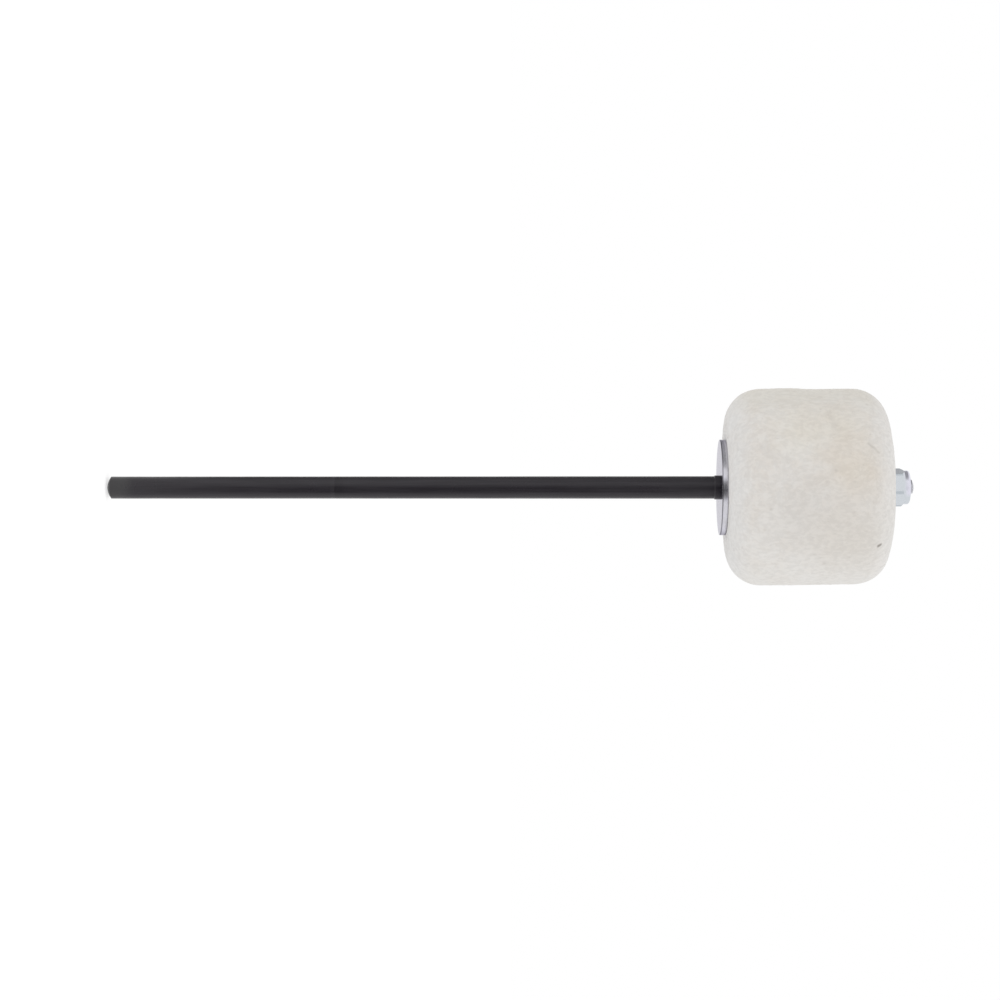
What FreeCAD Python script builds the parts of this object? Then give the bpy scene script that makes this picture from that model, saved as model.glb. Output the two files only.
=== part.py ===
import FreeCAD, Part
import os
import Sketcher

# A felt-headed bass drum beater, standing on its rod: +Z runs up the rod to the head, and the
# origin is the centre of the rod's free end. Lengths are in millimetres, angles in degrees.

DRIVING_SIZES = {
    # Rod: plain bar with a domed foot, and an upset shoulder that carries the head
    "rod_diameter": 6.35,
    "rod_length": 174.55,
    "foot_radius": 4.9,
    "shoulder_diameter": 6.8,
    "shoulder_length": 1.3,
    # Stud: the rod's turned-down end, threaded where the nut runs
    "stud_diameter": 4.826,
    "stud_end_radius": 3.9,
    "thread_pitch": 1.05833,
    "thread_turns": 13,
    "engaged_turns": 5.82,
    "thread_play": 0.16,
    # Flat washers: a wide thick one on the shoulder and a small one under the nut
    "rod_washer_diameter": 27.0,
    "rod_washer_thickness": 1.7,
    "nut_washer_diameter": 15.0,
    "nut_washer_thickness": 1.2,
    "washer_bore": 5.1,
    "washer_edge": 0.15,
    # Felt head: a barrel that narrows a little towards the nut, with crowned ends and rounded edges
    "head_diameter": 55.8,
    "head_top_diameter": 55.0,
    "head_length": 45.4,
    "head_bore": 5.0,
    "rod_side_crown": 0.25,
    "rod_side_edge": 9.57,
    "nut_side_crown": 1.45,
    "nut_side_edge": 9.6,
    "seat_diameter": 27.2,
    # Thin lock nut: a hexagon with a round collar, whose rolled lip holds a nylon ring
    "nut_across_flats": 9.525,
    "nut_height": 4.78,
    "nut_hexagon_height": 3.3,
    "nut_foot_chamfer": 0.35,
    "nut_corner_angle": 46.6,
    "nut_shoulder_slope": 50,
    "collar_diameter": 9.5,
    "collar_round": 0.6,
    "lip_bore": 5.5,
    "lip_thickness": 0.4,
    "insert_diameter": 7.9,
    "insert_height": 1.4,
    "insert_play": 0.05,
}

# Heights of the stack along the rod, as expressions on the driving sizes
HEAD_BASE = "(sizes.rod_length + sizes.rod_washer_thickness)"
NUT_WASHER_BASE = f"({HEAD_BASE} + sizes.head_length)"
NUT_BASE = f"({NUT_WASHER_BASE} + sizes.nut_washer_thickness)"
STUD_END = f"({NUT_BASE} + sizes.engaged_turns * sizes.thread_pitch)"

# Heights inside the lock nut, above its foot
LIP_BASE = "(sizes.nut_height - sizes.lip_thickness)"
INSERT_BASE = f"({LIP_BASE} - sizes.insert_height)"

# Sixty-degree thread, with its crest flat and depths as shares of the pitch
STUD_RADIUS = "(sizes.stud_diameter / 2)"
THREAD_SLOPE = "tan(30)"
CREST_FLAT = "(sizes.thread_pitch / 8)"
STUD_THREAD_DEPTH = "(0.6134 * sizes.thread_pitch)"
NUT_THREAD_DEPTH = "(0.5413 * sizes.thread_pitch)"
NUT_BORE_RADIUS = f"({STUD_RADIUS} - {NUT_THREAD_DEPTH} + sizes.thread_play)"

# How far a cutting outline reaches past the face that it cuts
OVERCUT = 0.1

# The points of a sketch element, and the sketch's own origin
START, END, CENTRE = 1, 2, 3
ORIGIN = (-1, START)

UP = FreeCAD.Vector(0, 0, 1)

doc = FreeCAD.newDocument("bass_drum_beater")
sheet = doc.addObject("Spreadsheet::Sheet", "sizes")


def fill_sheet():
    """Put each driving size in a cell of its own, named by its alias."""
    for row, (name, size) in enumerate(DRIVING_SIZES.items(), start=1):
        sheet.set(f"A{row}", name)
        sheet.set(f"B{row}", str(size))
        sheet.setAlias(f"B{row}", name)
    doc.recompute()


def number(expression):
    """The present value of an expression on the sheet's sizes."""
    return float(sheet.evalExpression(expression))


def point(place):
    """The sketch point that a pair of expressions gives."""
    return FreeCAD.Vector(number(place[0]), number(place[1]))


def new_body(label, base_height):
    """A body named for its piece, raised to its place in the stack."""
    body = doc.addObject("PartDesign::Body", label)
    body.Label = label
    body.setExpression(".Placement.Base.z", base_height)
    return body


def new_sketch(body, name, plane):
    """A sketch on one of the body's own origin planes."""
    sketch = body.newObject("Sketcher::SketchObject", name)
    origin_plane = next(f for f in body.Origin.OriginFeatures if f.Role == plane)
    sketch.AttachmentSupport = (origin_plane, [""])
    sketch.MapMode = "FlatFace"
    return sketch


def bind(sketch, expression, kind, *where):
    """Add a dimension to a sketch and tie it to an expression."""
    index = sketch.addConstraint(Sketcher.Constraint(kind, *where, number(expression)))
    sketch.setExpression(f"Constraints[{index}]", expression)


def draw_outline(sketch, places, arcs=None):
    """A closed outline through places, each a pair of expressions.

    Its sides are straight, apart from those that arcs gives a centre and a radius, which turn
    anticlockwise about that centre.
    """
    arcs = arcs or {}
    corners = [point(place) for place in places]
    for side, (first, second) in enumerate(zip(corners, corners[1:] + corners[:1])):
        if side in arcs:
            centre, radius = arcs[side]
            circle = Part.Circle(point(centre), UP, number(radius))
            curve = Part.ArcOfCircle(circle, circle.parameter(first), circle.parameter(second))
            sketch.addGeometry(curve, False)
            bind(sketch, radius, "Radius", side)
        else:
            sketch.addGeometry(Part.LineSegment(first, second), False)
    for side, (across, along) in enumerate(places):
        previous = (side - 1) % len(places)
        sketch.addConstraint(Sketcher.Constraint("Coincident", previous, END, side, START))
        bind(sketch, across, "DistanceX", *ORIGIN, side, START)
        bind(sketch, along, "DistanceY", *ORIGIN, side, START)


def draw_circle(sketch, diameter):
    """A circle about the origin whose diameter is an expression."""
    circle = sketch.addGeometry(Part.Circle(FreeCAD.Vector(), UP, number(diameter) / 2), False)
    sketch.addConstraint(Sketcher.Constraint("Coincident", circle, CENTRE, *ORIGIN))
    bind(sketch, diameter, "Diameter", circle)


def pad(body, sketch, length):
    """Raise a sketch on the XY plane to a length given as an expression."""
    feature = body.newObject("PartDesign::Pad", f"{sketch.Name}_pad")
    feature.Profile = sketch
    feature.setExpression("Length", length)
    doc.recompute()
    return feature


def turn(body, sketch):
    """Turn a half section on the XZ plane into a solid about the body's Z axis."""
    feature = body.newObject("PartDesign::Revolution", f"{sketch.Name}_turned")
    feature.Profile = sketch
    feature.ReferenceAxis = (sketch, ["V_Axis"])
    doc.recompute()
    return feature


def cut(body, kind, sketch, **expressions):
    """Cut a sketch out of the body as a Groove, Pocket or SubtractiveHelix, and see that it bites."""
    before = body.Shape.Volume
    feature = body.newObject(f"PartDesign::{kind}", f"{sketch.Name}_cut")
    feature.Profile = sketch
    if kind != "Pocket":
        feature.ReferenceAxis = (sketch, ["V_Axis"])
    for name, expression in expressions.items():
        feature.setExpression(name, expression)
    doc.recompute()
    if not feature.Shape.Volume < before:
        raise RuntimeError(f"{feature.Name} cut nothing")


def round_edges(body, base, radius, places):
    """Round the base feature's circular edges that lie at the given pairs of radius and height."""
    wanted = [point(place) for place in places]
    names = []
    for index, edge in enumerate(base.Shape.Edges, start=1):
        if isinstance(edge.Curve, Part.Circle):
            found = FreeCAD.Vector(edge.Curve.Radius, edge.Curve.Center.z)
            if any(found.isEqual(place, 1e-6) for place in wanted):
                names.append(f"Edge{index}")
    feature = body.newObject("PartDesign::Fillet", f"{base.Name}_rounded")
    feature.Base = (base, names)
    feature.setExpression("Radius", radius)
    doc.recompute()
    return feature


def rod():
    """Plain bar with a domed foot, an upset shoulder and a threaded stud, all one piece of steel."""
    body = new_body("rod", "0")
    bar = "(sizes.rod_diameter / 2)"
    shoulder = "(sizes.shoulder_diameter / 2)"
    shoulder_foot = "(sizes.rod_length - sizes.shoulder_length)"
    end_centre = f"({STUD_END} - sizes.stud_end_radius)"
    section = new_sketch(body, "rod_section", "XZ_Plane")
    outline = [
        ("0", "0"),
        (bar, f"sizes.foot_radius - sqrt(sizes.foot_radius ^ 2 - {bar} ^ 2)"),
        (bar, f"{shoulder_foot} - ({shoulder} - {bar})"),
        (shoulder, shoulder_foot),
        (shoulder, "sizes.rod_length"),
        (STUD_RADIUS, "sizes.rod_length"),
        (STUD_RADIUS, f"{end_centre} + sqrt(sizes.stud_end_radius ^ 2 - {STUD_RADIUS} ^ 2)"),
        ("0", STUD_END),
    ]
    foot, end = 0, len(outline) - 2
    draw_outline(section, outline, arcs={
        foot: (("0", "sizes.foot_radius"), "sizes.foot_radius"),
        end: (("0", end_centre), "sizes.stud_end_radius"),
    })
    turn(body, section)

    # The gap between two teeth: the stud's end lies half a pitch above the middle of a gap
    gap = f"({STUD_END} - (sizes.thread_turns + 0.5) * sizes.thread_pitch)"
    root = f"({STUD_RADIUS} - {STUD_THREAD_DEPTH})"
    outside = f"({STUD_RADIUS} + {OVERCUT})"
    half_mouth = f"((sizes.thread_pitch - {CREST_FLAT}) / 2)"
    half_root = f"({half_mouth} - {THREAD_SLOPE} * {STUD_THREAD_DEPTH})"
    half_outside = f"({half_mouth} + {THREAD_SLOPE} * {OVERCUT})"
    tooth_gap = new_sketch(body, "stud_tooth_gap", "XZ_Plane")
    draw_outline(tooth_gap, [
        (root, f"{gap} - {half_root}"),
        (outside, f"{gap} - {half_outside}"),
        (outside, f"{gap} + {half_outside}"),
        (root, f"{gap} + {half_root}"),
    ])
    rise = "(sizes.thread_turns + 1) * sizes.thread_pitch"
    cut(body, "SubtractiveHelix", tooth_gap, Pitch="sizes.thread_pitch", Height=rise)
    return body


def flat_washer(label, base_height, diameter, thickness):
    """Punched flat washer with both outer edges eased."""
    body = new_body(label, base_height)
    ring = new_sketch(body, f"{label}_ring", "XY_Plane")
    draw_circle(ring, diameter)
    draw_circle(ring, "sizes.washer_bore")
    plate = pad(body, ring, thickness)
    rim = f"{diameter} / 2"
    round_edges(body, plate, "sizes.washer_edge", [(rim, "0"), (rim, thickness)])
    return body


def rod_side_washer():
    """The wide washer, on the rod's shoulder."""
    width, thickness = "sizes.rod_washer_diameter", "sizes.rod_washer_thickness"
    return flat_washer("rod_side_washer", "sizes.rod_length", width, thickness)


def nut_side_washer():
    """The small washer, between the felt and the nut."""
    width, thickness = "sizes.nut_washer_diameter", "sizes.nut_washer_thickness"
    return flat_washer("nut_side_washer", NUT_WASHER_BASE, width, thickness)


def felt_head():
    """Felt barrel with a bore, and a flat seat for a washer at each end."""
    body = new_body("felt_head", HEAD_BASE)
    bore = "sizes.head_bore / 2"
    seat = "sizes.seat_diameter / 2"
    lower_edge = ("sizes.head_diameter / 2", "sizes.rod_side_crown")
    upper_edge = ("sizes.head_top_diameter / 2", "sizes.head_length - sizes.nut_side_crown")
    section = new_sketch(body, "felt_section", "XZ_Plane")
    draw_outline(section, [
        (bore, "0"),
        (seat, "0"),
        lower_edge,
        upper_edge,
        (seat, "sizes.head_length"),
        (bore, "sizes.head_length"),
    ])
    barrel = turn(body, section)
    lower_round = round_edges(body, barrel, "sizes.rod_side_edge", [lower_edge])
    round_edges(body, lower_round, "sizes.nut_side_edge", [upper_edge])
    return body


def lock_nut():
    """Hexagon with a round collar, an eased foot and a threaded bore that opens into the ring's groove."""
    body = new_body("lock_nut", NUT_BASE)
    corner = "(sizes.nut_across_flats / 2 / cos(30))"
    hexagon = new_sketch(body, "nut_hexagon", "XY_Plane")
    angles = [f"(sizes.nut_corner_angle + {step})" for step in range(0, 360, 60)]
    draw_outline(hexagon, [(f"{corner} * cos({angle})", f"{corner} * sin({angle})") for angle in angles])
    pad(body, hexagon, "sizes.nut_hexagon_height")

    # The corners slope down from the foot of the collar
    collar_radius = "(sizes.collar_diameter / 2)"
    reach = f"({corner} + {OVERCUT})"
    shoulder = new_sketch(body, "nut_shoulder", "XZ_Plane")
    draw_outline(shoulder, [
        (collar_radius, "sizes.nut_hexagon_height"),
        (reach, f"sizes.nut_hexagon_height - ({reach} - {collar_radius}) * tan(sizes.nut_shoulder_slope)"),
        (reach, "sizes.nut_hexagon_height"),
    ])
    cut(body, "Groove", shoulder)

    # The foot: corners eased at one in two
    foot = new_sketch(body, "nut_foot", "XZ_Plane")
    draw_outline(foot, [
        (f"{corner} - 2 * sizes.nut_foot_chamfer", "0"),
        (reach, "0"),
        (reach, f"sizes.nut_foot_chamfer + {OVERCUT} / 2"),
    ])
    cut(body, "Groove", foot)

    collar = new_sketch(body, "nut_collar", "XY_Plane")
    draw_circle(collar, "sizes.collar_diameter")
    barrel = pad(body, collar, "sizes.nut_height")
    round_edges(body, barrel, "sizes.collar_round", [(collar_radius, "sizes.nut_height")])

    # The inside: a bore with a countersunk mouth as wide as the thread, the ring's groove and the lip
    mouth = f"({STUD_RADIUS} + sizes.thread_play)"
    groove = "sizes.insert_diameter / 2"
    lip = "sizes.lip_bore / 2"
    above = f"sizes.nut_height + {OVERCUT}"
    bore = new_sketch(body, "nut_bore", "XZ_Plane")
    draw_outline(bore, [
        ("0", "0"),
        (mouth, "0"),
        (NUT_BORE_RADIUS, f"{mouth} - {NUT_BORE_RADIUS}"),
        (NUT_BORE_RADIUS, INSERT_BASE),
        (groove, INSERT_BASE),
        (groove, LIP_BASE),
        (lip, LIP_BASE),
        (lip, above),
        ("0", above),
    ])
    cut(body, "Groove", bore)

    # Room for the stud's teeth, plus the play, from the stud's lowest tooth up into the groove
    room = "((sizes.engaged_turns - sizes.thread_turns) * sizes.thread_pitch)"
    inside = f"({NUT_BORE_RADIUS} - {OVERCUT})"
    half_root = f"({CREST_FLAT} / 2)"
    half_inside = f"({half_root} + {THREAD_SLOPE} * ({mouth} - {inside}))"
    tooth_room = new_sketch(body, "nut_tooth_room", "XZ_Plane")
    draw_outline(tooth_room, [
        (inside, f"{room} - {half_inside}"),
        (mouth, f"{room} - {half_root}"),
        (mouth, f"{room} + {half_root}"),
        (inside, f"{room} + {half_inside}"),
    ])
    rise = f"{INSERT_BASE} + sizes.thread_pitch - {room}"
    cut(body, "SubtractiveHelix", tooth_room, Pitch="sizes.thread_pitch", Height=rise)
    return body


def nylon_insert():
    """Nylon ring that grips the stud, held under the nut's lip."""
    body = new_body("nylon_insert", f"{NUT_BASE} + {INSERT_BASE}")
    ring = new_sketch(body, "insert_ring", "XY_Plane")
    draw_circle(ring, "sizes.insert_diameter")
    draw_circle(ring, "sizes.stud_diameter + 2 * sizes.insert_play")
    pad(body, ring, "sizes.insert_height")
    return body


def check_document(pieces):
    """Stop on any failed feature, and on any piece that is not one sound solid."""
    doc.recompute()
    failed = [obj.Name for obj in doc.Objects if {"Invalid", "Error"} & set(obj.State)]
    if failed:
        raise RuntimeError(f"failed features: {failed}")
    for piece in pieces:
        shape = piece.Shape
        if shape.isNull() or not shape.isValid() or len(shape.Solids) != 1:
            raise RuntimeError(f"{piece.Label} is not one sound solid")


def write_pieces(pieces):
    """Write one STEP file for each piece, named by its label."""
    os.makedirs("parts", exist_ok=True)
    for piece in pieces:
        piece.Shape.exportStep(f"parts/{piece.Label}.step")
        print(f"{piece.Label}: base at {piece.Placement.Base.z:.3f} mm, {piece.Shape.Volume:.1f} mm3")


fill_sheet()
PIECES = [
    rod(),
    rod_side_washer(),
    felt_head(),
    nut_side_washer(),
    lock_nut(),
    nylon_insert(),
]
check_document(PIECES)
write_pieces(PIECES)
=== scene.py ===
import itertools
import math

import bpy
import numpy as np
from mathutils import Matrix, Vector


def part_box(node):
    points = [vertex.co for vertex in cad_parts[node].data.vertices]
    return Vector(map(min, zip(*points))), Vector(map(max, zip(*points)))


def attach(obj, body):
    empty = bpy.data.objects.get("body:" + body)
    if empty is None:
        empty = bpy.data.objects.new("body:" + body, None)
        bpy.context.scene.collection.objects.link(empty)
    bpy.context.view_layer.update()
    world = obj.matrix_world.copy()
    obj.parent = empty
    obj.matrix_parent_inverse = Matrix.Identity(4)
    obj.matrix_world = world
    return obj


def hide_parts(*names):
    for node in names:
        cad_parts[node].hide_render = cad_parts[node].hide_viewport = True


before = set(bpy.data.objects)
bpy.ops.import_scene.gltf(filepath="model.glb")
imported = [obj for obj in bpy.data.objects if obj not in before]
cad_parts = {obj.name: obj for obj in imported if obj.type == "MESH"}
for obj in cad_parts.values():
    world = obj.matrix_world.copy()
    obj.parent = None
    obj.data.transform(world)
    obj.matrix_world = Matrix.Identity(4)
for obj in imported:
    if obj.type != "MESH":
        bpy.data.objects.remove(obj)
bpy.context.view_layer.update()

# A felt-headed bass drum beater, standing on its rod. Lengths are in metres, and +Z runs up the rod.
MM = 0.001

# Places and sizes that the frame gives
rod_low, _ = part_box("rod")
rod_side_low, rod_side_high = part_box("rod_side_washer")
_, nut_side_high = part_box("nut_side_washer")
head_low, head_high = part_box("felt_head")

SHOULDER_TOP = rod_side_low.z
HEAD_BASE = head_low.z
HEAD_TOP = head_high.z

# The photograph's camera: it looks along +Y, turned a little down the rod, which lies across the picture
IMAGE_SIDE = 1000
IMAGE_CENTRE = IMAGE_SIDE / 2
SENSOR_WIDTH_MM = 36
FOCAL_PIXELS = 1950
PIXELS_PER_MM = 3.52
ROD_AXIS_ROW = 487.5
CENTRE_HEIGHT = 112.5 * MM
NEAR_CLIP = 10 * MM
CAMERA_TURN = math.radians(2.49)
CAMERA_VIEW = Vector((0, math.cos(CAMERA_TURN), -math.sin(CAMERA_TURN)))
PICTURE_RIGHT = Vector((0, math.sin(CAMERA_TURN), math.cos(CAMERA_TURN)))
PICTURE_UP = Vector((-1, 0, 0))
PICTURE_CENTRE = Vector(((IMAGE_CENTRE - ROD_AXIS_ROW) / PIXELS_PER_MM * MM, 0, CENTRE_HEIGHT))
CAMERA_PLACE = PICTURE_CENTRE - CAMERA_VIEW * (FOCAL_PIXELS / PIXELS_PER_MM * MM)

# The felt head's outline: a barrel, rounded into an end that the washers seat on at each side
BARREL_MARGIN = 0.09 * MM
BARREL_RADIUS = head_high.x + BARREL_MARGIN
BARREL_TAPER = 0.4 * MM
HEAD_BORE = 2.5 * MM
SEAT_MARGIN = 0.1 * MM
ROD_SIDE_SEAT = rod_side_high.x + SEAT_MARGIN
NUT_SIDE_SEAT = nut_side_high.x + SEAT_MARGIN
NUT_SIDE_FLAT = 13.6 * MM
ROD_SIDE_CROWN = 0.25 * MM
ROD_SIDE_EDGE = 9.57 * MM
NUT_SIDE_CROWN = 1.45 * MM
NUT_SIDE_EDGE = 9.6 * MM

# How finely the head is meshed
AROUND = 440
FINE_STEP = 0.4 * MM
HIDDEN_STEP = 4 * MM

# The felt's relief: lumps that handling and use have left, as (width, height), and a lengthwise grain
LUMPS = ((15 * MM, 0.1 * MM), (6 * MM, 0.05 * MM), (2.4 * MM, 0.02 * MM))
GRAIN_WIDTH = 1.0 * MM
GRAIN_HEIGHT = 0.012 * MM
GRAIN_STRETCH = 1.6
LATTICE_SIDE = 16

# Beyond the seats the felt is free: it swells to a lip there, leans a little, and its ends tilt
FREE_MARGIN = 2.4 * MM
LIP_HEIGHT = 0.1 * MM
LIP_OFFSET = 1.6 * MM
LIP_WIDTH = 1.1 * MM
LEAN = -0.19 * MM
ROD_SIDE_TILT = 0.0075
NUT_SIDE_TILT = 0.006
TILT_REACH = 16 * MM

# Marks on the felt, by the pixels of the photograph where they show
# Dents: where each shows, its depth, which is below 0 for a bulge, and its width
DENTS = (
    ((815, 390), 0.55 * MM, 4.5 * MM),
    ((795, 390), -0.2 * MM, 4 * MM),
    ((750, 391), 0.3 * MM, 7 * MM),
    ((860, 583), 0.25 * MM, 6 * MM),
    ((882, 570), -0.35 * MM, 7 * MM),
    ((732, 566), -0.35 * MM, 7 * MM),
)
CREASES = (((763, 448), (787, 461)), ((829, 405), (834, 432)))
CREASE_DEPTH = 0.12 * MM
CREASE_WIDTH = 0.8 * MM
CREASE_END = 0.04
# Broad soft stains: where each shows, how far it reaches, how strong it is, and its colour
STAINS = (
    ((800, 430), 14 * MM, 0.5, (219, 214, 202)),
    ((843, 425), 11 * MM, 0.6, (215, 208, 195)),
    ((853, 465), 13 * MM, 0.7, (214, 205, 192)),
    ((804, 515), 18 * MM, 0.7, (209, 205, 200)),
    ((856, 540), 19 * MM, 0.8, (211, 206, 199)),
)
SPECK_PIXELS = ((878.6, 546), (880.4, 544.8))
DARK_FIBRE_PIXELS = ((868.5, 444), (879, 452.5))
FLECK_PIXELS = ((836, 471), (824, 564), (771, 509), (765, 530), (867, 405))
PROJECTION_STEPS = 12

# Loose fibres lying on the felt, thinner towards their ends: with a taper of 2 they would end in points
FIBRES = 1800
FIBRE_RINGS = 6
FIBRE_SIDES = 3
FIBRE_RADIUS = 0.016 * MM
FIBRE_TAPER = 1.8
FIBRE_LENGTH = (1 * MM, 2.6 * MM)
FIBRE_TURN = math.radians(60)
FIBRE_LIFT = 0.02 * MM

random_draws = np.random.default_rng(7)


def smooth(low, high, values):
    """From 0 at low to 1 at high, with level ends."""
    share = np.clip((values - low) / (high - low), 0, 1)
    return share * share * (3 - 2 * share)


def rounded_corner(before, corner, after, rounding):
    """Points along a corner's rounding, or the corner alone where it is sharp."""
    toward = (corner - before) / np.linalg.norm(corner - before)
    away = (after - corner) / np.linalg.norm(after - corner)
    turn = math.atan2(toward[0] * away[1] - toward[1] * away[0], toward @ away)
    steps = math.ceil(rounding * abs(turn) / FINE_STEP)
    if steps == 0:
        return corner[None]
    spoke = math.copysign(rounding, turn) * np.array((toward[1], -toward[0]))
    centre = corner - toward * (rounding * math.tan(abs(turn) / 2)) - spoke
    across = np.array((-spoke[1], spoke[0]))
    angle = np.linspace(0, turn, steps + 1)[:, None]
    return centre + spoke * np.cos(angle) + across * np.sin(angle)


def rounded_outline(corners):
    """Points round a closed outline. A corner is (radius, height, rounding, step along the next side)."""
    places = [np.array(corner[:2]) for corner in corners]
    following = places[1:] + places[:1]
    arcs = [
        rounded_corner(places[i - 1], place, following[i], corners[i][2])
        for i, place in enumerate(places)
    ]
    points = []
    for arc, next_arc, corner in zip(arcs, arcs[1:] + arcs[:1], corners):
        run = next_arc[0] - arc[-1]
        steps = max(1, math.ceil(np.linalg.norm(run) / corner[3]))
        points += [arc, arc[-1] + run * np.arange(1, steps)[:, None] / steps]
    return np.vstack(points)


def head_outline():
    """The felt's section, from the bore out along the rod side, up the barrel and back in at the nut."""
    return rounded_outline([
        (HEAD_BORE, HEAD_BASE, 0, HIDDEN_STEP),
        (ROD_SIDE_SEAT, HEAD_BASE, 0, FINE_STEP),
        (BARREL_RADIUS, HEAD_BASE + ROD_SIDE_CROWN, ROD_SIDE_EDGE, FINE_STEP),
        (BARREL_RADIUS - BARREL_TAPER, HEAD_TOP - NUT_SIDE_CROWN, NUT_SIDE_EDGE, FINE_STEP),
        (NUT_SIDE_FLAT, HEAD_TOP, 0, FINE_STEP),
        (NUT_SIDE_SEAT, HEAD_TOP, 0, HIDDEN_STEP),
        (HEAD_BORE, HEAD_TOP, 0, HIDDEN_STEP),
    ])


class Outline:
    """The head's section as functions of the distance along it."""

    def __init__(self, points):
        self.points = points
        closed = np.vstack((points, points[:1]))
        steps = np.linalg.norm(np.diff(closed, axis=0), axis=1)
        self.along = np.concatenate(((0,), np.cumsum(steps)))
        run = np.roll(points, -1, axis=0) - np.roll(points, 1, axis=0)
        outward = np.stack((run[:, 1], -run[:, 0]), axis=1)
        outward /= np.linalg.norm(outward, axis=1)[:, None]
        self.values = np.hstack((closed, np.vstack((outward, outward[:1]))))

    def at(self, along):
        """Radius, height and the outward direction's two parts."""
        return [np.interp(along, self.along, column) for column in self.values.T]

    def radius_at(self, height):
        """The barrel's radius at a height."""
        radius, heights = self.points[self.points[:, 0] >= ROD_SIDE_SEAT].T
        return np.interp(height, heights, radius)


head_section = Outline(head_outline())


def on_head(pixel):
    """The point of the head that shows at a pixel of the photograph, or lies nearest to it."""
    column, row = pixel
    start = np.array(CAMERA_PLACE)
    across = PICTURE_RIGHT * (column - IMAGE_CENTRE) - PICTURE_UP * (row - IMAGE_CENTRE)
    toward = np.array(CAMERA_VIEW * FOCAL_PIXELS + across)
    a = toward[:2] @ toward[:2]
    b = start[:2] @ toward[:2]
    radius = BARREL_RADIUS
    for _ in range(PROJECTION_STEPS):
        c = start[:2] @ start[:2] - radius**2
        place = start + toward * (-b - math.sqrt(max(b * b - a * c, 0))) / a
        radius = head_section.radius_at(place[2])
    return place


def lattice_noise(places, width, lattice):
    """Smooth noise from -1 to 1, in lumps of about this width."""
    at = places / width
    low = np.floor(at).astype(int)
    part = smooth(0, 1, at - low)
    total = np.zeros(places.shape[:-1])
    for corner in itertools.product((0, 1), repeat=3):
        weight = np.prod(np.where(corner, part, 1 - part), axis=-1)
        cell = (low + corner) % LATTICE_SIDE
        total += weight * lattice[cell[..., 0], cell[..., 1], cell[..., 2]]
    return total


def unrolled(places):
    """Where places lie on the barrel laid flat: distance round it and height."""
    round_it = np.arctan2(places[..., 1], places[..., 0]) * BARREL_RADIUS
    return np.stack((round_it, places[..., 2]), axis=-1)


def crease(flat_places, start, end):
    """How deep a crease from start to end is, from 0 to 1, fading out at its ends."""
    run = end - start
    share = np.clip((flat_places - start) @ run / (run @ run), 0, 1)
    distance = np.linalg.norm(flat_places - start - share[..., None] * run, axis=-1)
    fade = np.sin(math.pi * np.clip(share, CREASE_END, 1 - CREASE_END))
    return np.exp(-((distance / CREASE_WIDTH) ** 2)) * fade


class FeltSurface:
    """The head's outer surface, with its relief."""

    def __init__(self):
        sides = (LATTICE_SIDE,) * 3
        self.lattices = [random_draws.uniform(-1, 1, sides) for _ in range(len(LUMPS) + 1)]
        self.dents = [(on_head(pixel), depth, width) for pixel, depth, width in DENTS]
        self.creases = [[unrolled(on_head(pixel)) for pixel in ends] for ends in CREASES]

    def relief(self, places):
        """How far lumps, grain, creases and dents lift the surface."""
        height = np.zeros(places.shape[:-1])
        for (width, tall), lattice in zip(LUMPS, self.lattices):
            height += tall * lattice_noise(places, width, lattice)
        stretched = places / np.array((1, 1, GRAIN_STRETCH))
        height += GRAIN_HEIGHT * lattice_noise(stretched, GRAIN_WIDTH, self.lattices[-1])
        flat = unrolled(places)
        for start, end in self.creases:
            height -= CREASE_DEPTH * crease(flat, start, end)
        for centre, depth, width in self.dents:
            height -= depth * np.exp(-(np.linalg.norm(places - centre, axis=-1) / width) ** 2)
        return height

    def at(self, along, angle):
        """Points of the surface, and its outward directions before the relief."""
        radius, height, out, up = head_section.at(along)
        around = np.stack((np.cos(angle), np.sin(angle)), axis=-1)
        places = np.concatenate((around * radius[..., None], height[..., None]), axis=-1)
        outward = np.concatenate((around * out[..., None], up[..., None]), axis=-1)
        seat = np.where(height < (HEAD_BASE + HEAD_TOP) / 2, ROD_SIDE_SEAT, NUT_SIDE_SEAT)
        past_seat = radius - seat
        free = smooth(0, FREE_MARGIN, past_seat)
        lip = np.exp(-(((past_seat - LIP_OFFSET) / LIP_WIDTH) ** 2)) * smooth(0, LIP_OFFSET, past_seat)
        lift = self.relief(places) * free + LIP_HEIGHT * lip * np.abs(up)
        rod_tilt = ROD_SIDE_TILT * smooth(HEAD_BASE + TILT_REACH, HEAD_BASE, height)
        nut_tilt = NUT_SIDE_TILT * smooth(HEAD_TOP - TILT_REACH, HEAD_TOP, height)
        tilt = (rod_tilt + nut_tilt) * places[..., 0]
        places = places + outward * lift[..., None]
        places[..., 0] += LEAN * free
        places[..., 2] += tilt * free
        return places, outward


def mesh_piece(name, points, faces, material):
    """A smooth-shaded mesh object of one material."""
    mesh = bpy.data.meshes.new(name)
    mesh.from_pydata(points.reshape(-1, 3).tolist(), [], faces)
    mesh.shade_smooth()
    mesh.materials.append(material)
    piece = bpy.data.objects.new(name, mesh)
    bpy.context.scene.collection.objects.link(piece)
    return piece


def ring_faces(rings, sides, closed):
    """Four-sided faces between neighbouring rings of points, the last joined to the first where closed."""
    index = np.arange(rings * sides).reshape(rings, sides)
    following = np.roll(index, -1, axis=0)
    if not closed:
        index, following = index[:-1], following[:-1]
    beside = np.roll(index, -1, axis=1), np.roll(following, -1, axis=1)
    return np.stack((index, beside[0], beside[1], following), axis=-1).reshape(-1, 4)


def felt_head(surface, material):
    """The felt block, closed round its bore."""
    angle = np.linspace(0, 2 * math.pi, AROUND, endpoint=False)
    along = head_section.along[:-1]
    places, _ = surface.at(*np.broadcast_arrays(along[:, None], angle[None, :]))
    return mesh_piece("felt_head_dressed", places, ring_faces(len(along), AROUND, True).tolist(), material)


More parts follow.
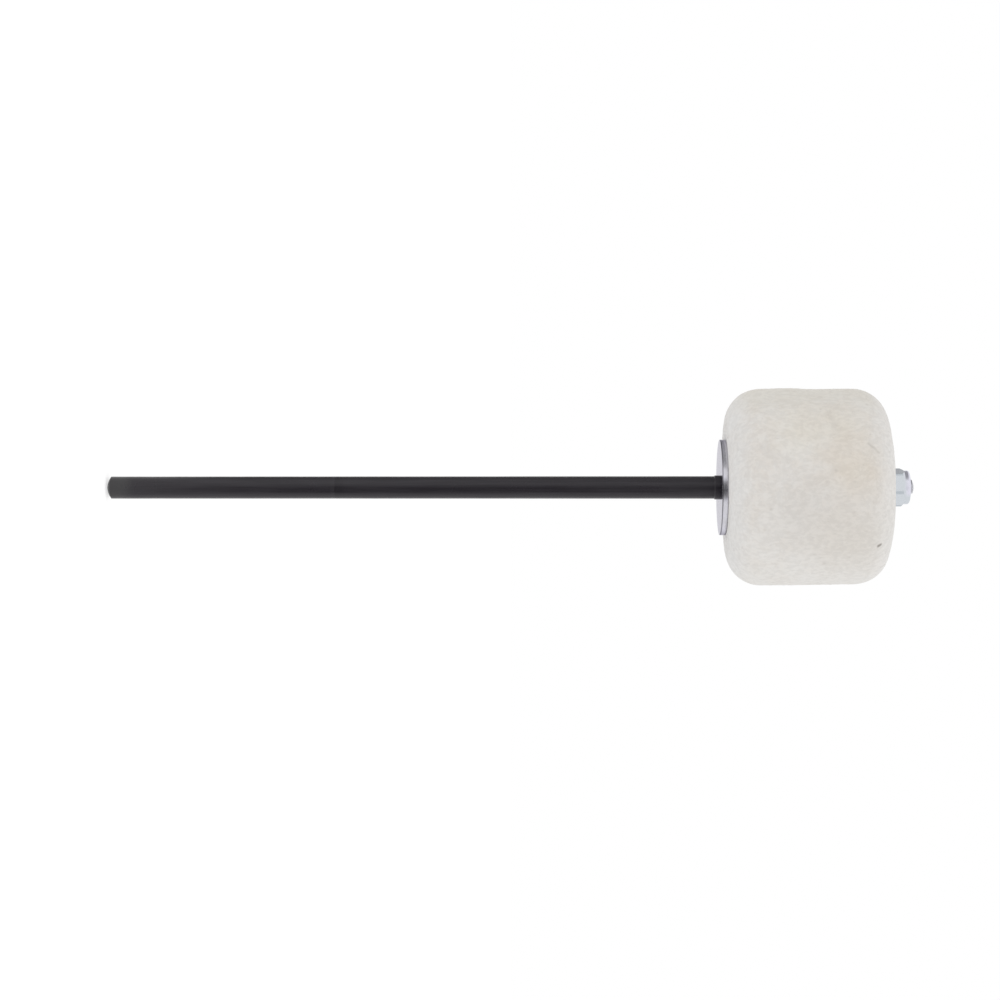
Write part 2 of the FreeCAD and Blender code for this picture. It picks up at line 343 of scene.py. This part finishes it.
def fibre_tracks(surface, share):
    """Points along each fibre at these shares of its length, and the felt's outward directions there."""
    shown = head_section.along[:-1][head_section.points[:, 0] > ROD_SIDE_SEAT + FREE_MARGIN / 2]
    middle = random_draws.uniform(shown.min(), shown.max(), FIBRES)
    angle = random_draws.uniform(0, 2 * math.pi, FIBRES)
    length = random_draws.uniform(*FIBRE_LENGTH, FIBRES)
    heading = random_draws.normal(0, FIBRE_TURN, FIBRES)
    bend = random_draws.normal(0, FIBRE_TURN, FIBRES)
    direction = heading[:, None] + bend[:, None] * share
    step = length[:, None] * share
    track = np.clip(middle[:, None] + step * np.cos(direction), shown.min(), shown.max())
    ring_radius = head_section.at(track)[0]
    places, outward = surface.at(track, angle[:, None] + step * np.sin(direction) / ring_radius)
    lift = FIBRE_LIFT * np.cos(2 * math.pi * share)
    return places + outward * lift[:, None], outward


def felt_fibres(surface, material):
    """Short fibres that lie on the felt, mostly along the rod, with their ends buried in it."""
    share = np.linspace(-0.5, 0.5, FIBRE_RINGS)
    places, outward = fibre_tracks(surface, share)
    run = np.gradient(places, axis=1)
    run /= np.linalg.norm(run, axis=-1, keepdims=True)
    side = np.cross(outward, run)
    turn = np.linspace(0, 2 * math.pi, FIBRE_SIDES, endpoint=False)[:, None]
    tube = side[:, :, None] * np.cos(turn) + outward[:, :, None] * np.sin(turn)
    thickness = FIBRE_RADIUS * np.sqrt(1 - (FIBRE_TAPER * share) ** 2)
    points = places[:, :, None] + tube * thickness[:, None, None]
    per_fibre = FIBRE_RINGS * FIBRE_SIDES
    first = np.arange(FIBRES)[:, None] * per_fibre
    ring = np.arange(FIBRE_SIDES)
    walls = first[:, None] + ring_faces(FIBRE_RINGS, FIBRE_SIDES, False)
    start_caps = first + ring[::-1]
    end_caps = first + per_fibre - FIBRE_SIDES + ring
    faces = walls.reshape(-1, 4).tolist() + start_caps.tolist() + end_caps.tolist()
    return mesh_piece("felt_fibres", points, faces, material)


class Finish:
    """A material with one Principled shader, and short ways to add nodes to it."""

    def __init__(self, name):
        self.material = bpy.data.materials.new(name)
        self.material.use_nodes = True
        self.tree = self.material.node_tree
        self.shader = self.tree.nodes["Principled BSDF"]
        self.place = self.tree.nodes.new("ShaderNodeTexCoord").outputs["Object"]

    def put(self, socket, value):
        """Link a socket to a node's output, or write a value on it."""
        if isinstance(value, bpy.types.NodeSocket):
            self.tree.links.new(value, socket)
        else:
            socket.default_value = value

    def node(self, kind, inputs, **settings):
        """A new node of a kind, with its settings and its inputs by name or number."""
        made = self.tree.nodes.new("ShaderNode" + kind)
        for name, value in settings.items():
            setattr(made, name, value)
        for key, value in inputs.items():
            self.put(made.inputs[key], value)
        return made

    def set(self, **inputs):
        """Shader inputs by name, with _ for a space."""
        for name, value in inputs.items():
            self.put(self.shader.inputs[name.replace("_", " ")], value)

    def vector(self, operation, first, second):
        """One step of arithmetic on two vectors."""
        return self.node("VectorMath", {0: first, 1: second}, operation=operation).outputs["Vector"]

    def scaled(self, vector, factor):
        """A vector or a colour times a factor."""
        return self.node("VectorMath", {0: vector, "Scale": factor}, operation="SCALE").outputs["Vector"]

    def number(self, operation, first, second):
        """One step of arithmetic on two numbers."""
        return self.node("Math", {0: first, 1: second}, operation=operation).outputs[0]

    def distance(self, first, second):
        """How far apart two points are."""
        return self.node("VectorMath", {0: first, 1: second}, operation="DISTANCE").outputs["Value"]

    def height(self):
        """The height above the rod's free end."""
        return self.node("SeparateXYZ", {0: self.place}).outputs["Z"]

    def across(self):
        """The distance from the axis along X."""
        return self.node("SeparateXYZ", {0: self.place}).outputs["X"]

    def from_axis(self):
        """The distance from the rod's axis."""
        return self.distance(self.vector("MULTIPLY", self.place, (1, 1, 0)), (0, 0, 0))

    def noise(self, width, place=None, detail=2, roughness=0.5):
        """Noise from 0 to 1, in lumps of about this width."""
        inputs = {"Vector": place or self.place, "Scale": 1 / width}
        inputs |= {"Detail": detail, "Roughness": roughness}
        return self.node("TexNoise", inputs).outputs["Fac"]

    def ramp(self, value, low, high, start=0.0, end=1.0):
        """From start where the value is low to end where it is high, with level ends."""
        inputs = {"Value": value, "From Min": low, "From Max": high, "To Min": start, "To Max": end}
        return self.node("MapRange", inputs, interpolation_type="SMOOTHSTEP").outputs["Result"]

    def blend(self, share, first, second):
        """The first colour where the share is 0, and the second where it is 1."""
        return self.node("Mix", {0: share, 6: first, 7: second}, data_type="RGBA").outputs[2]

    def bump(self, height, distance):
        """Fine relief on the shader, this high where the height is 1."""
        inputs = {"Height": height, "Distance": distance}
        self.set(Normal=self.node("Bump", inputs).outputs["Normal"])

    def wander(self, width, reach):
        """The place, moved about by at most this reach in a smooth pattern of this width."""
        drift = self.node("TexNoise", {"Vector": self.place, "Scale": 1 / width, "Detail": 1})
        centred = self.vector("SUBTRACT", drift.outputs["Color"], (0.5, 0.5, 0.5))
        return self.vector("ADD", self.place, self.vector("MULTIPLY", centred, (2 * reach,) * 3))

    def near(self, place, point, reach, most):
        """The given most at a point, falling to 0 at this reach from it."""
        return self.ramp(self.distance(place, tuple(point)), 0, reach, most, 0)

    def stroke(self, place, start, end, reach, most):
        """The given most on the line from start to end, falling to 0 at this reach from it."""
        run = Vector(end) - Vector(start)
        offset = self.vector("SUBTRACT", place, tuple(start))
        slope = tuple(run / run.length_squared)
        dot = self.node("VectorMath", {0: offset, 1: slope}, operation="DOT_PRODUCT").outputs["Value"]
        share = self.node("Clamp", {"Value": dot}).outputs[0]
        return self.ramp(self.distance(offset, self.scaled(tuple(run), share)), 0, reach, most, 0)


def linear(red, green, blue):
    """A colour written in display values from 0 to 255."""
    shares = [value / 255 for value in (red, green, blue)]
    return (*[s / 12.92 if s <= 0.04045 else ((s + 0.055) / 1.055) ** 2.4 for s in shares], 1)


# Parts of a noise's range that a ramp spreads out
MOST_OF_RANGE = (0.3, 0.7)
MIDDLE_OF_RANGE = (0.35, 0.65)

# The felt's colours
WOOL = linear(217, 212, 206)
PALE_WOOL = linear(222, 220, 217)
# Painted shade, warmer and darker, for the -X side, and painted light for the +X side, as the light falls
PAINTED_SHADE_SIDE = linear(209, 205, 195)
PAINTED_LIGHT_SIDE = linear(219, 217, 213)
ROD_END = linear(217, 217, 217)
NUT_END = linear(224, 222, 219)
FLECK = linear(172, 165, 156)
# Painted shade for the creases
PAINTED_CREASE_SHADE = linear(196, 190, 184)
DARK_FIBRE = linear(150, 148, 140)
SPECK = linear(112, 104, 96)
LOOSE_FIBRES = linear(214, 209, 203), linear(225, 222, 217)

# Where the felt's colour turns, in X at the sides of painted shade and painted light, and in height at the
# ends, and how strongly
PAINTED_SHADE_BAND = (-27 * MM, -17 * MM)
PAINTED_LIGHT_BAND = (8 * MM, 26 * MM)
PAINTED_SIDE_STRENGTH = 0.6
ROD_END_BAND = (HEAD_BASE + 1 * MM, HEAD_BASE + 7 * MM)
ROD_END_STRENGTH = 0.5
NUT_END_BAND = (HEAD_TOP - 8 * MM, HEAD_TOP - 2 * MM)
NUT_END_STRENGTH = 0.7
MOTTLE_STRENGTH = 0.8

# How far each kind of mark reaches, and how strong it is
FLECK_SPREAD = (0.9 * MM, 0.25)
PAINTED_CREASE_SHADE_SPREAD = (2 * MM, 0.25)
DARK_FIBRE_SPREAD = (0.7 * MM, 0.28)
SPECK_SPREAD = (0.8 * MM, 0.75)

# The felt's pile: dabs that are darker or paler, longer along the rod, with a finer fuzz over them
DAB_CONTRAST = 0.036
DAB_STRETCH = (1, 1, 0.65)
FUZZ_SHARE = 0.6
PILE_HEIGHT = 0.03 * MM
FELT_SPECULAR = 0.15
FELT_SHEEN = 0.15


def wool(finish):
    """Mottled off-white, with painted shade, warmer and darker, along the -X side and painted light along
    the +X side.
    """
    mottle = finish.noise(8 * MM, detail=4, roughness=0.75)
    colour = finish.blend(finish.ramp(mottle, *MIDDLE_OF_RANGE, 0, MOTTLE_STRENGTH), WOOL, PALE_WOOL)
    # Painted shade along the -X side, then painted light along the +X side
    painted_shade = finish.ramp(finish.across(), *PAINTED_SHADE_BAND, PAINTED_SIDE_STRENGTH, 0)
    colour = finish.blend(painted_shade, colour, PAINTED_SHADE_SIDE)
    painted_light = finish.ramp(finish.across(), *PAINTED_LIGHT_BAND, 0, PAINTED_SIDE_STRENGTH)
    return finish.blend(painted_light, colour, PAINTED_LIGHT_SIDE)


def stained(finish, colour, ragged):
    """The colour with stains on the barrel, and cleaner towards both ends of the head."""
    for pixel, reach, most, shade in STAINS:
        stain = finish.near(ragged, on_head(pixel), reach, most)
        colour = finish.blend(stain, colour, linear(*shade))
    height = finish.height()
    rod_end = finish.ramp(height, *ROD_END_BAND, ROD_END_STRENGTH, 0)
    colour = finish.blend(rod_end, colour, ROD_END)
    nut_end = finish.ramp(height, *NUT_END_BAND, 0, NUT_END_STRENGTH)
    return finish.blend(nut_end, colour, NUT_END)


def marked(finish, colour, ragged):
    """The colour with flecks, painted shade in the creases, a dark fibre and a speck."""
    for pixel in FLECK_PIXELS:
        fleck = finish.near(finish.place, on_head(pixel), *FLECK_SPREAD)
        colour = finish.blend(fleck, colour, FLECK)
    # Painted shade along each crease
    for ends in CREASES:
        crease_shade = finish.stroke(ragged, *map(on_head, ends), *PAINTED_CREASE_SHADE_SPREAD)
        colour = finish.blend(crease_shade, colour, PAINTED_CREASE_SHADE)
    curving = finish.wander(2 * MM, 0.4 * MM)
    fibre = finish.stroke(curving, *map(on_head, DARK_FIBRE_PIXELS), *DARK_FIBRE_SPREAD)
    colour = finish.blend(fibre, colour, DARK_FIBRE)
    jagged = finish.wander(1 * MM, 0.2 * MM)
    speck = finish.stroke(jagged, *map(on_head, SPECK_PIXELS), *SPECK_SPREAD)
    return finish.blend(speck, colour, SPECK)


def felt():
    """Pressed wool: short fibres that lie every way, a little more along the rod."""
    finish = Finish("felt")
    lying = finish.vector("MULTIPLY", finish.wander(9 * MM, 2 * MM), DAB_STRETCH)
    dabs = finish.ramp(finish.noise(1.1 * MM, lying, detail=2, roughness=0.6), *MOST_OF_RANGE)
    ragged = finish.wander(5 * MM, 2 * MM)
    colour = stained(finish, wool(finish), ragged)
    colour = finish.scaled(colour, finish.ramp(dabs, 0, 1, 1 - DAB_CONTRAST, 1 + DAB_CONTRAST))
    finish.set(Base_Color=marked(finish, colour, ragged), Roughness=0.95, Specular_IOR_Level=FELT_SPECULAR)
    finish.set(Sheen_Weight=FELT_SHEEN, Sheen_Roughness=0.5)
    fuzz = finish.noise(0.2 * MM, detail=2, roughness=0.6)
    pile = finish.number("ADD", dabs, finish.number("MULTIPLY", fuzz, FUZZ_SHARE))
    finish.bump(pile, PILE_HEIGHT)
    return finish.material


def loose_fibre():
    """Single wool fibres, some paler than others."""
    finish = Finish("loose_fibre")
    shade = finish.ramp(finish.noise(2.5 * MM, detail=1), *MOST_OF_RANGE)
    finish.set(Base_Color=finish.blend(shade, *LOOSE_FIBRES), Roughness=0.9)
    finish.set(Specular_IOR_Level=FELT_SPECULAR, Sheen_Weight=FELT_SHEEN)
    return finish.material


# The rod's colours
BLACKS = linear(38, 35, 40), linear(45, 42, 47)
PALE_FOOT_BLACK = linear(62, 61, 62)
RUBBED_BLACK = linear(52, 50, 54)
GRIME = linear(25, 23, 27)
STUD_STEELS = linear(204, 204, 208), linear(220, 220, 225)

# The rod's lengthwise streaks, the height where its stud starts, and the range of its roughness
STREAK_STRETCH = (1, 1, 0.04)
STUD_BAND = (SHOULDER_TOP, SHOULDER_TOP + 0.1 * MM)
SCUFF_RANGE = (0.4, 0.7)
ROD_ROUGHNESS = (0.26, 0.36)

# The rod's foot, paler up to a ragged upper edge
FOOT_BAND = (6 * MM, 11 * MM)
FOOT_RAGGEDNESS = 5 * MM
FOOT_STRENGTH = 0.8

# The mark that a clamp has left: its height, and the strips below, at and above it, measured from there
CLAMP_MARK = 65.6 * MM
RUBBED_BAND = (-1.5 * MM, -0.8 * MM)
MARK_BAND = (-0.1 * MM, 0.1 * MM)
GRIMY_BAND = (0.3 * MM, 4 * MM)
MARK_STRENGTH = 0.35


def bar_colour(finish, height, cloud):
    """Streaked black, paler at the foot, rubbed below the clamp's mark and grimy above it."""
    lengthwise = finish.vector("MULTIPLY", finish.place, STREAK_STRETCH)
    streaks = finish.ramp(finish.noise(0.5 * MM, lengthwise, detail=3), *MOST_OF_RANGE)
    ragged = finish.number("ADD", height, finish.number("MULTIPLY", cloud, FOOT_RAGGEDNESS))
    # Paler at the foot, up to a ragged edge
    recoloured = finish.ramp(ragged, *FOOT_BAND, FOOT_STRENGTH, 0)
    colour = finish.blend(recoloured, finish.blend(streaks, *BLACKS), PALE_FOOT_BLACK)
    past_mark = finish.number("SUBTRACT", height, CLAMP_MARK)
    below = finish.ramp(past_mark, *RUBBED_BAND, 0, MARK_STRENGTH)
    above = finish.ramp(past_mark, *GRIMY_BAND, MARK_STRENGTH, 0)
    rubbed = finish.blend(below, colour, RUBBED_BLACK)
    grimy = finish.blend(above, colour, GRIME)
    return finish.blend(finish.ramp(past_mark, *MARK_BAND), rubbed, grimy)


def black_coat():
    """Satin black on the bar, and bright scuffed steel on the stud."""
    finish = Finish("black_coat")
    height = finish.height()
    cloud = finish.noise(9 * MM, detail=3)
    stud = finish.ramp(height, *STUD_BAND)
    scuffs = finish.ramp(finish.noise(0.8 * MM, detail=3, roughness=0.6), *SCUFF_RANGE)
    colour = finish.blend(stud, bar_colour(finish, height, cloud), finish.blend(scuffs, *STUD_STEELS))
    rough = finish.ramp(cloud, *MOST_OF_RANGE, *ROD_ROUGHNESS)
    finish.set(Base_Color=colour, Roughness=rough, Metallic=stud, Specular_IOR_Level=0.3)
    finish.bump(finish.noise(0.35 * MM), 0.006 * MM)
    return finish.material


# The plated pieces' colours, with the tints of their edges and the ranges of their roughness
DULL_ZINC = linear(188, 188, 194)
DULL_RANGE = (0.55, 0.75)
DULL_STRENGTH = 0.35
WASHER_ZINCS = linear(204, 203, 209), linear(212, 211, 220)
# Painted shade for the large washer's edge by its lower face
SHADED_WASHER_EDGE = linear(96, 94, 100)
WASHER_EDGE_TINT = (0.56, 0.55, 0.6, 1)
WASHER_ROUGHNESS = (0.08, 0.18)
BLUE_ZINC = linear(207, 212, 217)
WORN_ZINC = linear(178, 185, 191)
LILAC_ZINC = linear(221, 220, 232)
NUT_EDGE_TINT = (0.9, 0.9, 0.92, 1)
NUT_ROUGHNESS = (0.1, 0.2)

# Where the washer's edge gets painted shade: out to its rim, and up from its lower face
WASHER_RIM_BAND = (rod_side_high.x - 0.25 * MM, rod_side_high.x - 0.1 * MM)
WASHER_LOW_BAND = (SHOULDER_TOP + 0.15 * MM, SHOULDER_TOP + 0.4 * MM)
WEAR_AND_SHADE_STRENGTH = 0.8

# Where the nut is worn, out to its corners, and where its colour turns, up the collar and in X
NUT_CORNER_BAND = (5.15 * MM, 5.4 * MM)
NUT_BODY_HEIGHT = 3.3 * MM
COLLAR_BASE = nut_side_high.z + NUT_BODY_HEIGHT
COLLAR_BAND = (COLLAR_BASE, COLLAR_BASE + 1.4 * MM)
COLLAR_DRIFT = 1.2 * MM
LILAC_SIDE_BAND = (1.5 * MM, 3 * MM)


def plating(finish, shift, tints, edge_tint, roughness):
    """Bright zinc: a tint that shifts between two shades, with dull patches and a tumbled surface."""
    grain = finish.noise(0.22 * MM, detail=3, roughness=0.7)
    patches = finish.noise(1.1 * MM, detail=4, roughness=0.7)
    dull = finish.ramp(patches, *DULL_RANGE, 0, DULL_STRENGTH)
    colour = finish.blend(dull, finish.blend(shift, *tints), DULL_ZINC)
    rough = finish.ramp(grain, *MOST_OF_RANGE, *roughness)
    finish.set(Base_Color=colour, Metallic=1, Roughness=rough, Specular_Tint=edge_tint)
    finish.bump(finish.noise(0.5 * MM, detail=4, roughness=0.6), 0.008 * MM)
    return finish.material


def washer_plating():
    """Lilac zinc in soft clouds, with dark painted shade on the large washer's edge."""
    finish = Finish("washer_plating")
    cloud = finish.ramp(finish.noise(3 * MM, detail=3, roughness=0.6), *MIDDLE_OF_RANGE)
    rim = finish.ramp(finish.from_axis(), *WASHER_RIM_BAND)
    low = finish.ramp(finish.height(), *WASHER_LOW_BAND, WEAR_AND_SHADE_STRENGTH, 0)
    # Painted shade on the washer's edge by its lower face
    recoloured = finish.number("MULTIPLY", rim, low)
    tints = [finish.blend(recoloured, zinc, SHADED_WASHER_EDGE) for zinc in WASHER_ZINCS]
    return plating(finish, cloud, tints, WASHER_EDGE_TINT, WASHER_ROUGHNESS)


def nut_plating():
    """Zinc of a blue shade, with wear at the hexagon's corners, which turns to lilac over most of the
    collar.
    """
    finish = Finish("nut_plating")
    drift = finish.number("MULTIPLY", finish.noise(2 * MM), COLLAR_DRIFT)
    collar = finish.ramp(finish.number("ADD", finish.height(), drift), *COLLAR_BAND)
    lilac = finish.number("MULTIPLY", collar, finish.ramp(finish.across(), *LILAC_SIDE_BAND, 1, 0))
    recoloured = finish.ramp(finish.from_axis(), *NUT_CORNER_BAND, 0, WEAR_AND_SHADE_STRENGTH)
    hexagon = finish.blend(recoloured, BLUE_ZINC, WORN_ZINC)
    return plating(finish, lilac, (hexagon, LILAC_ZINC), NUT_EDGE_TINT, NUT_ROUGHNESS)


# The nylon's colours and the range of its roughness
NYLONS = linear(214, 210, 198), linear(226, 224, 216)
NYLON_ROUGHNESS = (0.38, 0.55)


def nylon():
    """Milky nylon, a little yellowed, with faint turning marks."""
    finish = Finish("nylon")
    out = finish.node("CombineXYZ", {0: finish.from_axis()}).outputs[0]
    marks = finish.noise(0.08 * MM, out)
    shade = finish.ramp(finish.noise(1.5 * MM, detail=3), *MIDDLE_OF_RANGE)
    rough = finish.ramp(marks, *MOST_OF_RANGE, *NYLON_ROUGHNESS)
    finish.set(Base_Color=finish.blend(shade, *NYLONS), Roughness=rough)
    finish.bump(marks, 0.01 * MM)
    return finish.material


def dress(node, material):
    """Gives a CAD node its finish."""
    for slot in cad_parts[node].material_slots:
        slot.material = material


# The studio: a white floor and sky, and dark cards
WHITE = (1, 1, 1, 1)
BLACK = (0, 0, 0, 1)
FLOOR_SIDE = 6
FLOOR_GAP = 0.05 * MM
FLOOR_GREY = (0.5, 0.5, 0.5, 1)
FLOOR_GLOW = 0.5
FLOOR_GLOW_SEEN = 0.62
SKY_LOW = 0.9
SKY_HIGH = 1.1
ROD_CARD_DISTANCE = 0.12
ROD_CARD_HEIGHT = 0.168


def seen_directly(tree):
    """1 for what the camera sees straight or in a gloss or through glass, else 0."""
    path = tree.nodes.new("ShaderNodeLightPath")
    total = path.outputs["Is Camera Ray"]
    for name in ("Is Glossy Ray", "Is Transmission Ray"):
        either = tree.nodes.new("ShaderNodeMath")
        either.operation = "MAXIMUM"
        tree.links.new(total, either.inputs[0])
        tree.links.new(path.outputs[name], either.inputs[1])
        total = either.outputs[0]
    return total


def flat_piece(name, width, height, material):
    """A rectangle about the origin, facing +Z."""
    corners = np.array([(-1, -1, 0), (1, -1, 0), (1, 1, 0), (-1, 1, 0)]) * (width / 2, height / 2, 0)
    return mesh_piece(name, corners, [(0, 1, 2, 3)], material)


def floor():
    """A plain white floor, which glows a little and keeps the shadow."""
    finish = Finish("floor_white")
    finish.set(Base_Color=FLOOR_GREY, Roughness=0.9, Specular_IOR_Level=0.0)
    glow = finish.ramp(seen_directly(finish.tree), 0, 1, FLOOR_GLOW, FLOOR_GLOW_SEEN)
    finish.set(Emission_Color=WHITE, Emission_Strength=glow)
    ground = flat_piece("floor", FLOOR_SIDE, FLOOR_SIDE, finish.material)
    ground.location.z = rod_low.z - FLOOR_GAP


def sky():
    """Even soft light, a little stronger from +X, over a white background."""
    world = bpy.data.worlds.new("studio")
    bpy.context.scene.world = world
    world.use_nodes = True
    tree = world.node_tree
    background = tree.nodes["Background"]
    direction = tree.nodes.new("ShaderNodeTexCoord").outputs["Generated"]
    parts = tree.nodes.new("ShaderNodeSeparateXYZ")
    tree.links.new(direction, parts.inputs[0])
    slope = tree.nodes.new("ShaderNodeMapRange")
    for name, value in (("From Min", -1), ("From Max", 1), ("To Min", SKY_LOW), ("To Max", SKY_HIGH)):
        slope.inputs[name].default_value = value
    tree.links.new(parts.outputs["X"], slope.inputs["Value"])
    level = tree.nodes.new("ShaderNodeMix")
    level.inputs["B"].default_value = 1
    tree.links.new(seen_directly(tree), level.inputs["Factor"])
    tree.links.new(slope.outputs["Result"], level.inputs["A"])
    tree.links.new(level.outputs["Result"], background.inputs["Strength"])
    background.inputs["Color"].default_value = WHITE


def dark_card(name, place, aim, size, fade, shade, core):
    """A card that only gloss shows: the shade over its core, and white at the edges, the ways it fades."""
    finish = Finish(name)
    width, height = size
    out = finish.vector("MULTIPLY", finish.place, (2 * fade[0] / width, 2 * fade[1] / height, 0))
    level = finish.ramp(finish.distance(out, (0, 0, 0)), core, 1, shade, 1)
    finish.set(Base_Color=BLACK, Specular_IOR_Level=0.0)
    finish.set(Emission_Color=WHITE, Emission_Strength=level)
    card = flat_piece(name, width, height, finish.material)
    card.location = place
    toward = Vector((0, 0, aim)) - card.location
    card.rotation_euler = toward.to_track_quat("Z", "Y").to_euler()
    card.visible_camera = False
    card.visible_diffuse = False
    card.visible_shadow = False


def far_card(name, place, size, shade, core):
    """A card that faces the head's top and fades all round."""
    dark_card(name, place, HEAD_TOP, size, (1, 1), shade, core)


def rod_card(name, turn, width, shade, core):
    """A card close to the bar, this far round it from the camera's side, which fades to the sides."""
    out = Vector((math.sin(turn), -math.cos(turn), 0)) * ROD_CARD_DISTANCE
    middle = ROD_CARD_HEIGHT / 2
    dark_card(name, out + Vector((0, 0, middle)), middle, (width, ROD_CARD_HEIGHT), (1, 0), shade, core)


def camera():
    """The photograph's view."""
    lens = bpy.data.cameras.new("camera")
    lens.sensor_width = SENSOR_WIDTH_MM
    lens.lens = FOCAL_PIXELS / IMAGE_SIDE * SENSOR_WIDTH_MM
    lens.clip_start = NEAR_CLIP
    seat = bpy.data.objects.new("camera", lens)
    turned = Matrix((PICTURE_RIGHT, PICTURE_UP, -CAMERA_VIEW)).transposed().to_4x4()
    seat.matrix_world = Matrix.Translation(CAMERA_PLACE) @ turned
    bpy.context.scene.collection.objects.link(seat)
    bpy.context.scene.camera = seat


surface = FeltSurface()
head = felt_head(surface, felt())
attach(head, "head")
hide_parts("felt_head")

fibres = felt_fibres(surface, loose_fibre())
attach(fibres, "head")

dress("rod", black_coat())
washer_finish = washer_plating()
for node in ("rod_side_washer", "nut_side_washer"):
    dress(node, washer_finish)
dress("lock_nut", nut_plating())
dress("nylon_insert", nylon())

floor()
sky()
far_card("lens_side_card", (0.06, -0.62, 0.08), (1.0, 0.56), shade=0.02, core=0.42)
far_card("top_card", (-0.63, 0.16, 0.27), (2.9, 0.46), shade=0.38, core=0.34)
rod_card("rod_front_card", math.radians(20), 0.28, shade=0.02, core=0.3)
rod_card("rod_top_card", math.radians(-115), 0.17, shade=0.3, core=0.35)
camera()
bpy.context.scene.view_settings.view_transform = "Standard"
